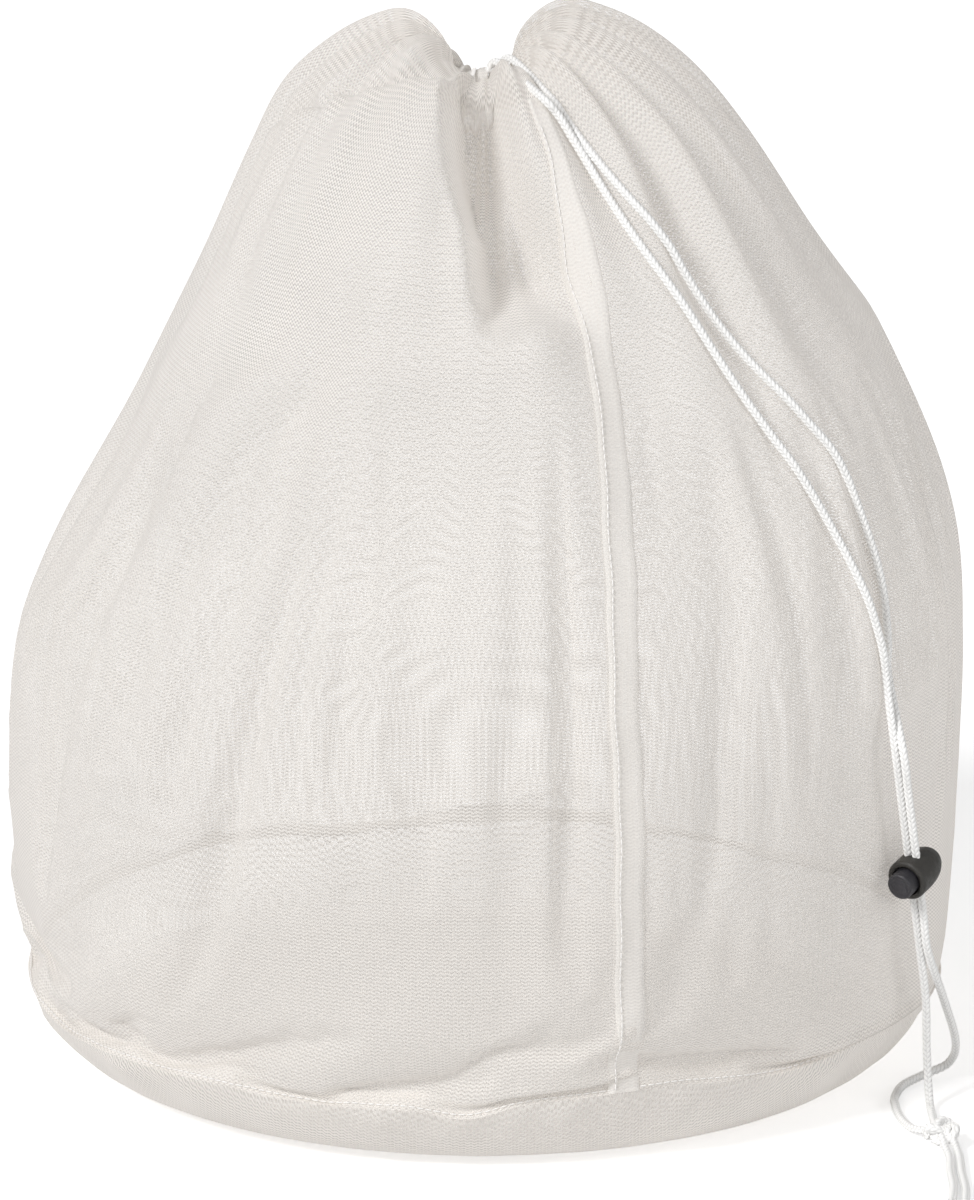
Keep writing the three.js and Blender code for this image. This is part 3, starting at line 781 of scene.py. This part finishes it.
def build_hem():
    """The hem channel, packed into pleats around the drawn cord, with a tuft pushed up on the left."""
    sides, turns = 26, 420
    azimuth = np.arange(turns) * 360 / turns
    a = wrap(azimuth)
    tuft = bell(a, -60, 24)
    exit_gap = bell(a, SEAM_AZIMUTH, 9)
    lower = hem_drop(np.radians(azimuth))
    fold = hem_fold(azimuth)
    fine_fold = pleats(azimuth, 38, 5.0, 62)
    rings = []
    for k in range(sides):
        turn = 2 * math.pi * k / sides
        size = 5.0 + 1.3 * fold + 0.6 * fine_fold - 1.4 * exit_gap
        size = size + 3.0 * tuft * max(math.sin(turn + 0.5), 0)
        centre_radius = HEM_RADIUS + 0.7 * fold
        radius = centre_radius + size * math.cos(turn) * 0.95
        height = HEM_CENTRE[2] + size * math.sin(turn) - 2.0 * exit_gap - lower
        angle = np.radians(azimuth + 5 * math.sin(turn) * fine_fold)
        flat = [HEM_CENTRE[0] + radius * np.sin(angle), HEM_CENTRE[1] - radius * np.cos(angle)]
        rings.append(np.stack([*flat, height], axis=1))
    rings.append(rings[0])
    u_edges = np.linspace(0, WEAVE_AROUND, turns + 1)
    piece = sheet("gathered_hem", np.array(rings), u_edges, np.linspace(0, HEM_CLOTH, sides + 1))
    dress(piece, "seam_fabric")
    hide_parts("hem_channel")
    sink_with(piece, "mouth")
    ring = []
    for azimuth_here in np.linspace(SEAM_AZIMUTH + 20, SEAM_AZIMUTH + 340, 360):
        fold_here = hem_fold(np.array([azimuth_here]))[0]
        angle = math.radians(azimuth_here)
        ring.append(on_hem(HEM_RADIUS + 5.2 + 1.9 * fold_here, angle, -2.5))
    thread = stitches("hem_stitches", ring)
    dress(thread, "sewing_thread")
    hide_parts("hem_thread")
    sink_with(thread, "mouth")
    for side, offset in (("left", -26), ("right", 26)):
        build_bar_tack(side, SEAM_AZIMUTH + offset)


def build_bar_tack(side, azimuth):
    """A short dense bar of zigzag thread beside the cord's exit."""
    angle = math.radians(azimuth)
    along = np.array([math.sin(angle), -math.cos(angle), -0.35])
    across = np.array([math.cos(angle), math.sin(angle), 0])
    middle = on_hem(HEM_RADIUS + 4.5, angle, 4.0)
    steps = np.linspace(-4, 4, 240)
    zigzag = 2 / math.pi * np.arcsin(np.sin(steps * 9.0))
    path = middle + np.outer(steps, along) + np.outer(zigzag * 0.8, across)
    piece = join_parts(f"bar_tack_{side}", [capped_tube(path, 0.3, 6)])
    dress(piece, "sewing_thread")
    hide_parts(f"exit_bartack_{side}")
    sink_with(piece, "mouth")


# ---- The cord ----

BRAID_PITCH = 2.4
BRAID_COLUMNS = 4
BRAID_SIDES = 28
GROOVE = 0.55


def braid(angle, distance):
    """How proud the yarns stand, 0 to 1: columns of slanted yarns that meet in a row of V shapes."""
    turn = angle * BRAID_COLUMNS / (2 * math.pi)
    column = np.floor(turn)
    across = turn - column - 0.5
    slant = np.where(column % 2 == 0, 1.0, -1.0)
    phase = distance / BRAID_PITCH + slant * across * 0.85 + 0.5 * (column % 2 == 0)
    return np.abs(np.cos(math.pi * phase)) ** 0.55 * np.cos(math.pi * across * 0.92) ** 0.35


def braid_bulge(angle, distance):
    return -GROOVE * (1 - braid(angle, distance))


def round_path(points, spacing=0.36):
    dense = spline(points, 1200)
    length = np.linalg.norm(np.diff(dense, axis=0), axis=1).sum()
    return spline(points, int(length / spacing) + 2)


def braided_part(points):
    return capped_tube(round_path(points), CORD_RADIUS, BRAID_SIDES, braid_bulge)


def braided(name, points):
    return join_parts(name, [braided_part(points)])


def share_at(height_wanted):
    """The share of the wall where the outline passes a height on its way up."""
    profile = spline(OUTLINE, ROWS)
    crest = int(np.argmax(profile[:, 1]))
    climb = np.linspace(0, crest / (ROWS - 1), crest + 1)
    return float(np.interp(height_wanted, profile[:crest + 1, 1], climb))


def on_strand(side, distance):
    return LOCK_CENTRE + OUT * side * CORD_PITCH / 2 + HANG * distance


# Where each strand passes: azimuth in degrees by height on the wall, then points near the floor.
STRANDS = {
    "front": {
        "side": -1,
        "exit": [(1.5, -17, 443.5), (6, -23, 448.5)],
        "wall": [(21, 452), (27, 443), (29.5, 428), (32, 397), (37.5, 356),
                 (43.5, 314), (50, 271), (52.5, 236), (54.3, 200)],
        "fall": [(190.9, -101, 50), (191.6, -97, 28), (192.4, -97, 11), (193, -102.5, 3.2),
                 (193.3, -109, FLOOR)],
        "tail": [(193.3, -109, FLOOR), (193.8, -118, FLOOR), (194.4, -130, 2.3), (195.4, -139, 4.4),
                 (196.0, -145, 5.6)],
        "end": [(196.5, -155, 6.2), (198, -163, 3.6), (199.5, -173, FLOOR), (199.2, -190, FLOOR),
                (199.8, -210, FLOOR), (198.6, -228, FLOOR)],
    },
    "back": {
        "side": 1,
        "exit": [(5, -15, 443.5), (11.5, -20.5, 449.5)],
        "wall": [(27, 454), (30.6, 445), (32.6, 430), (36.0, 397), (43.2, 356),
                 (50.5, 314), (57, 271), (58, 236), (57.6, 200)],
        "fall": [(198.5, -93, 49), (205, -74, 22), (202.5, -62.5, 8), (192, -65, 3.4),
                 (182, -77, 2.3), (178, -93, FLOOR), (178, -101, FLOOR)],
        "tail": [(178, -101, FLOOR), (178.6, -111, FLOOR), (180.6, -123, FLOOR), (184.5, -135, 2.8),
                 (190.5, -143, 4.6)],
        "end": [(200.5, -154, 6.0), (202.5, -162, 3.6), (203.8, -173, FLOOR), (204.0, -191, FLOOR),
                (205, -212, FLOOR), (204.2, -231, FLOOR)],
    },
}


def laid_on_wall(stations):
    """A strand drawn lightly over the wall: it bridges small hollows and never dips into the fabric."""
    drawn = np.array([(azimuth, share_at(height), 0.0) for azimuth, height in stations])
    drawn[:, 1] *= 200
    places = spline(drawn, 70)
    places[:, 1] /= 200
    lift = CORD_RADIUS + 0.5
    touching = np.array([on_wall(azimuth, share, lift) for azimuth, share, _ in places])
    outward = touching - np.array([on_wall(azimuth, share) for azimuth, share, _ in places])
    outward /= np.linalg.norm(outward, axis=1, keepdims=True)
    line = touching.copy()
    for _ in range(60):
        line = eased(line, 1)
        sunk = np.minimum(np.sum((line - touching) * outward, axis=1, keepdims=True), 0)
        line = line - sunk * outward
    return [tuple(point) for point in line[::3]]


def build_strand(name, strand):
    straight = [tuple(on_strand(strand["side"], distance)) for distance in (60, 40, 20, 0, -20, -38)]
    run = list(strand["exit"]) + laid_on_wall(strand["wall"]) + straight + strand["fall"]
    piece = braided(f"cord_{name}_run", run)
    dress(piece, "braided_cord")
    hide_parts(f"cord_run_{name}")
    sink_with(piece, "cord_run")
    tail = braided(f"cord_{name}_tail", strand["tail"])
    dress(tail, "braided_cord")
    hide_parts(f"cord_tail_{name}")
    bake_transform(tail)
    end = build_frayed_end(name, strand["end"])
    dress(end, "braided_cord")
    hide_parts(f"cord_end_{name}")
    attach(end, "tail")


def build_frayed_end(name, points):
    """A cut end of cord whose yarns have opened a little."""
    parts = [braided_part(points)]
    local = np.random.default_rng(len(name) * 7)
    tip = np.array(points[-1], float)
    ahead = tip - np.array(points[-2], float)
    ahead /= np.linalg.norm(ahead)
    for _ in range(26):
        angle = local.uniform(0, 2 * math.pi)
        out = local.uniform(0.2, 1.7)
        side = np.array([math.cos(angle), 0, math.sin(angle)])
        start = tip - ahead * 1.2 + side * out
        finish = tip + ahead * local.uniform(1.5, 4.2) + side * out * local.uniform(1.0, 1.7)
        start[2] = max(start[2], 0.5)
        finish[2] = max(finish[2], 0.5)
        middle = (start + finish) / 2 + side * 0.3
        parts.append(capped_tube(spline([start, middle, finish], 7), 0.22, 5))
    return join_parts(f"cord_{name}_end", parts)


def build_knot():
    """An overhand knot tied in both strands together."""
    centre = np.array([196.2, -149.5, 6.4])
    parts = []
    for offset in (-1, 1):
        t = np.linspace(math.pi + 0.28, 3 * math.pi - 0.28, 26)
        size = 2.5 + 0.4 * offset
        along = size * (np.sin(t) + 2 * np.sin(2 * t)) * 0.95
        across = size * (np.cos(t) - 2 * np.cos(2 * t)) * 0.95 + 0.9 * offset
        up = -2.5 * np.sin(3 * t) + 0.5 * offset
        loop = centre + np.stack([across, -along, up], axis=1)
        loop[:, 2] = np.maximum(loop[:, 2], 2.2)
        parts.append(braided_part(loop))
    piece = join_parts("knot", parts)
    dress(piece, "braided_cord")
    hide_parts("cord_knot")
    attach(piece, "tail")


def build_cord_loop():
    """The cord inside the hem, from one end of the exit round to the other."""
    angles = np.radians(np.linspace(SEAM_AZIMUTH + 14, SEAM_AZIMUTH + 346, 60))
    piece = braided("cord_in_hem", [on_hem(HEM_RADIUS, angle) for angle in angles])
    dress(piece, "braided_cord")
    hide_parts("cord_loop")
    sink_with(piece, "mouth")


# ---- The cord lock ----

CORD_STATION = 12.5  # the cord's place along the barrel
SPRING_RADIUS = 2.6
SPRING_TURNS = 4
SLOT_HALF_WIDTH = 4.3
SLOT_PLAY = 0.2  # between the cord and the slot
COLLAR_RADIUS = 9.2
COLLAR_EDGE = 1.4
BUTTON_RADIUS = 6.0
BUTTON_EDGE = 1.0
TRAVEL = JOINTS["button_press"]["range_m"][1] / MM
LOCK_SIDE = np.cross(HANG, BARREL)
LOCK_ORIGIN = LOCK_CENTRE - BARREL * CORD_STATION


def lock_place(vertices):
    """From the lock's own axes (side, up, along the barrel) to the bag's."""
    return LOCK_ORIGIN + np.asarray(vertices, float) @ np.array([LOCK_SIDE, HANG, BARREL])


def turned(profile, segments=96):
    """A closed body turned about the barrel's axis; its (radius, height) points end on the axis."""
    inner = profile[1:-1]
    angle = np.arange(segments) * 2 * math.pi / segments
    rings = [np.stack([r * np.cos(angle), r * np.sin(angle), np.full(segments, h)], 1) for r, h in inner]
    vertices = np.concatenate(rings + [[(0, 0, profile[0][1])], [(0, 0, profile[-1][1])]])
    return vertices, capped_faces(len(inner), segments)


def rounded_slot(half_width, low, high, reach=14.0, corner=2.6, steps=10):
    """A long rounded block, up along the cord, that cuts a slot with rounded corners."""
    outline = []
    centres = [(half_width - corner, high - corner, 0), (-half_width + corner, high - corner, 90),
               (-half_width + corner, low + corner, 180), (half_width - corner, low + corner, 270)]
    for x, z, start in centres:
        for k in range(steps + 1):
            angle = math.radians(start + 90 * k / steps)
            outline.append((x + corner * math.cos(angle), z + corner * math.sin(angle)))
    count = len(outline)
    vertices = [(x, y, z) for y in (-reach, reach) for x, z in outline]
    faces = [(k, (k + 1) % count, count + (k + 1) % count, count + k) for k in range(count)]
    faces += [tuple(reversed(range(count))), tuple(range(count, 2 * count))]
    return vertices, faces


def apply_modifiers(piece):
    evaluated = piece.evaluated_get(bpy.context.evaluated_depsgraph_get())
    result = bpy.data.meshes.new_from_object(evaluated)
    piece.modifiers.clear()
    piece.data = result


def cut(piece, cutter):
    """Cuts one object by another and applies the result."""
    for obj in (piece, cutter):
        obj.data.validate()
    modifier = piece.modifiers.new("cut", "BOOLEAN")
    modifier.operation = "DIFFERENCE"
    modifier.solver = "EXACT"
    modifier.object = cutter
    apply_modifiers(piece)
    bpy.data.objects.remove(cutter, do_unlink=True)


def soften(piece, width):
    """Rounds the sharp edges that a cut leaves, and applies the result."""
    bevel = piece.modifiers.new("bevel", "BEVEL")
    bevel.width = width * MM
    bevel.segments = 2
    bevel.limit_method = "ANGLE"
    bevel.angle_limit = math.radians(38)
    apply_modifiers(piece)
    for face in piece.data.polygons:
        face.use_smooth = True
    piece.data.set_sharp_from_angle(angle=math.radians(40))


def arc(centre, radius, start, end, steps):
    angles = np.radians(np.linspace(start, end, steps))
    return [(centre[0] + radius * math.cos(a), centre[1] + radius * math.sin(a)) for a in angles]


def build_lock():
    near = CORD_STATION - CORD_RADIUS - SLOT_PLAY
    far = CORD_STATION + CORD_RADIUS + SLOT_PLAY
    outline = [(0, -4.2)] + arc((0, 2.6), 6.8, -80, -30, 7)[1:]
    flank = [(6.1, -0.6), (7.9, 3.2), (8.9, 7.8), (COLLAR_RADIUS, CORD_STATION), (9.15, 16.5)]
    outline += spline(flank, 14).tolist()
    outline += arc((COLLAR_RADIUS - COLLAR_EDGE, 18.6), COLLAR_EDGE, 0, 90, 6)
    outline += [(7.2, 20.0), (6.7, 19.7), (6.4, 19.1), (6.4, 1.8), (0, 1.8)]
    vertices, faces = turned(outline)
    barrel = mesh_object("barrel", lock_place(vertices), faces)
    slot_vertices, slot_faces = rounded_slot(SLOT_HALF_WIDTH, near - TRAVEL, far)
    cut(barrel, mesh_object("slot", lock_place(slot_vertices), slot_faces))
    soften(barrel, 0.25)
    dress(barrel, "lock_plastic")
    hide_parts("lock_barrel")
    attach(barrel, "lock")

    face = 25.8
    outline = [(0, 9.4), (3.6, 9.4), (3.6, 6.2), (5.7, 6.2), (BUTTON_RADIUS, 6.5)]
    outline += [(BUTTON_RADIUS, 12.0), (BUTTON_RADIUS, 20.0)]
    outline += arc((BUTTON_RADIUS - BUTTON_EDGE, face - BUTTON_EDGE), BUTTON_EDGE, 0, 90, 7)
    outline += [(4.4, face), (4.15, face - 0.12), (3.9, face), (2.0, face + 0.05), (0, face + 0.06)]
    vertices, faces = turned(outline)
    button = mesh_object("button", lock_place(vertices), faces)
    slot_vertices, slot_faces = rounded_slot(SLOT_HALF_WIDTH, near, far + TRAVEL + 0.3)
    cut(button, mesh_object("slot", lock_place(slot_vertices), slot_faces))
    soften(button, 0.12)
    dress(button, "button_plastic")
    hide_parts("lock_button")
    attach(button, "button")

    share = np.linspace(0, 1, 160)
    turn = share * SPRING_TURNS * 2 * math.pi
    coil = np.stack([SPRING_RADIUS * np.cos(turn), SPRING_RADIUS * np.sin(turn), 2.3 + 6.6 * share], axis=1)
    spring = join_parts("spring", [capped_tube(lock_place(coil), 0.3, 10)])
    dress(spring, "spring_steel")
    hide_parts("lock_spring")
    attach(spring, "lock")
    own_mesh(spring)


build_wall()
build_base()
build_base_allowance()
build_side_band()
build_side_stitches()
build_base_stitches()
build_hem()
build_cord_loop()
for strand_name, strand_shape in STRANDS.items():
    build_strand(strand_name, strand_shape)
build_knot()
build_lock()

# ---- Floor, light and camera ----

def build_floor():
    reach, level = 4000, -0.4
    corners = [(x * reach, y * reach, level) for x, y in ((-1, -1), (1, -1), (1, 1), (-1, 1))]
    floor = mesh_object("floor", corners, [(0, 1, 2, 3)])
    material, nodes, links, shader = new_material("pale_floor", (0.92, 0.92, 0.92), 0.8)
    cloud = add_node(nodes, "ShaderNodeTexNoise")
    cloud.inputs["Scale"].default_value = 3.0
    links.new(ramp(nodes, links, cloud.outputs["Fac"], 0.3, 0.7, 0.75, 0.85), shader.inputs["Roughness"])
    path = add_node(nodes, "ShaderNodeLightPath")
    shader.inputs["Emission Color"].default_value = (1, 1, 1, 1)
    lift = maths(nodes, links, "MULTIPLY", path.outputs["Is Camera Ray"], 0.42)
    links.new(lift, shader.inputs["Emission Strength"])
    floor.data.materials.append(material)


def area_light(name, place, target, size, power):
    data = bpy.data.lights.new(name, "AREA")
    data.shape = "DISK"
    data.size = size
    data.energy = power
    light = bpy.data.objects.new(name, data)
    light.location = place
    light.rotation_euler = (Vector(target) - Vector(place)).to_track_quat("-Z", "Y").to_euler()
    bpy.context.scene.collection.objects.link(light)


def sun_light(name, towards, strength, softness):
    data = bpy.data.lights.new(name, "SUN")
    data.energy = strength
    data.angle = math.radians(softness)
    light = bpy.data.objects.new(name, data)
    light.rotation_euler = Vector(towards).to_track_quat("Z", "Y").to_euler()
    bpy.context.scene.collection.objects.link(light)


def build_studio():
    build_floor()
    world = bpy.data.worlds.new("studio")
    world.use_nodes = True
    nodes, links = world.node_tree.nodes, world.node_tree.links
    nodes["Background"].inputs["Color"].default_value = (1, 1, 1, 1)
    path = add_node(nodes, "ShaderNodeLightPath")
    seen = ramp(nodes, links, path.outputs["Is Camera Ray"], 0, 1, 0.40, 1.0)
    links.new(seen, nodes["Background"].inputs["Strength"])
    bpy.context.scene.world = world
    sun_light("key", (-1.7, -1.8, 1.9), 2.2, 18)
    area_light("fill", (2.0, -1.3, 1.2), (0, 0, 0.25), 1.2, 11)
    scene = bpy.context.scene
    scene.view_settings.view_transform = "Standard"
    scene.cycles.transparent_max_bounces = 24
    scene.cycles.max_bounces = 10


def build_camera():
    distance = 6.0
    elevation = math.radians(17)
    target = Vector((0.0009, 0, 0.2000))
    seen_width = 0.4255
    sensor_width = 36
    data = bpy.data.cameras.new("camera")
    data.sensor_fit = "HORIZONTAL"
    data.sensor_width = sensor_width
    data.lens = sensor_width * distance / seen_width
    camera = bpy.data.objects.new("camera", data)
    camera.location = target + Vector((0, -math.cos(elevation), math.sin(elevation))) * distance
    camera.rotation_euler = (target - camera.location).to_track_quat("-Z", "Y").to_euler()
    bpy.context.scene.collection.objects.link(camera)
    bpy.context.scene.camera = camera


build_studio()
build_camera()
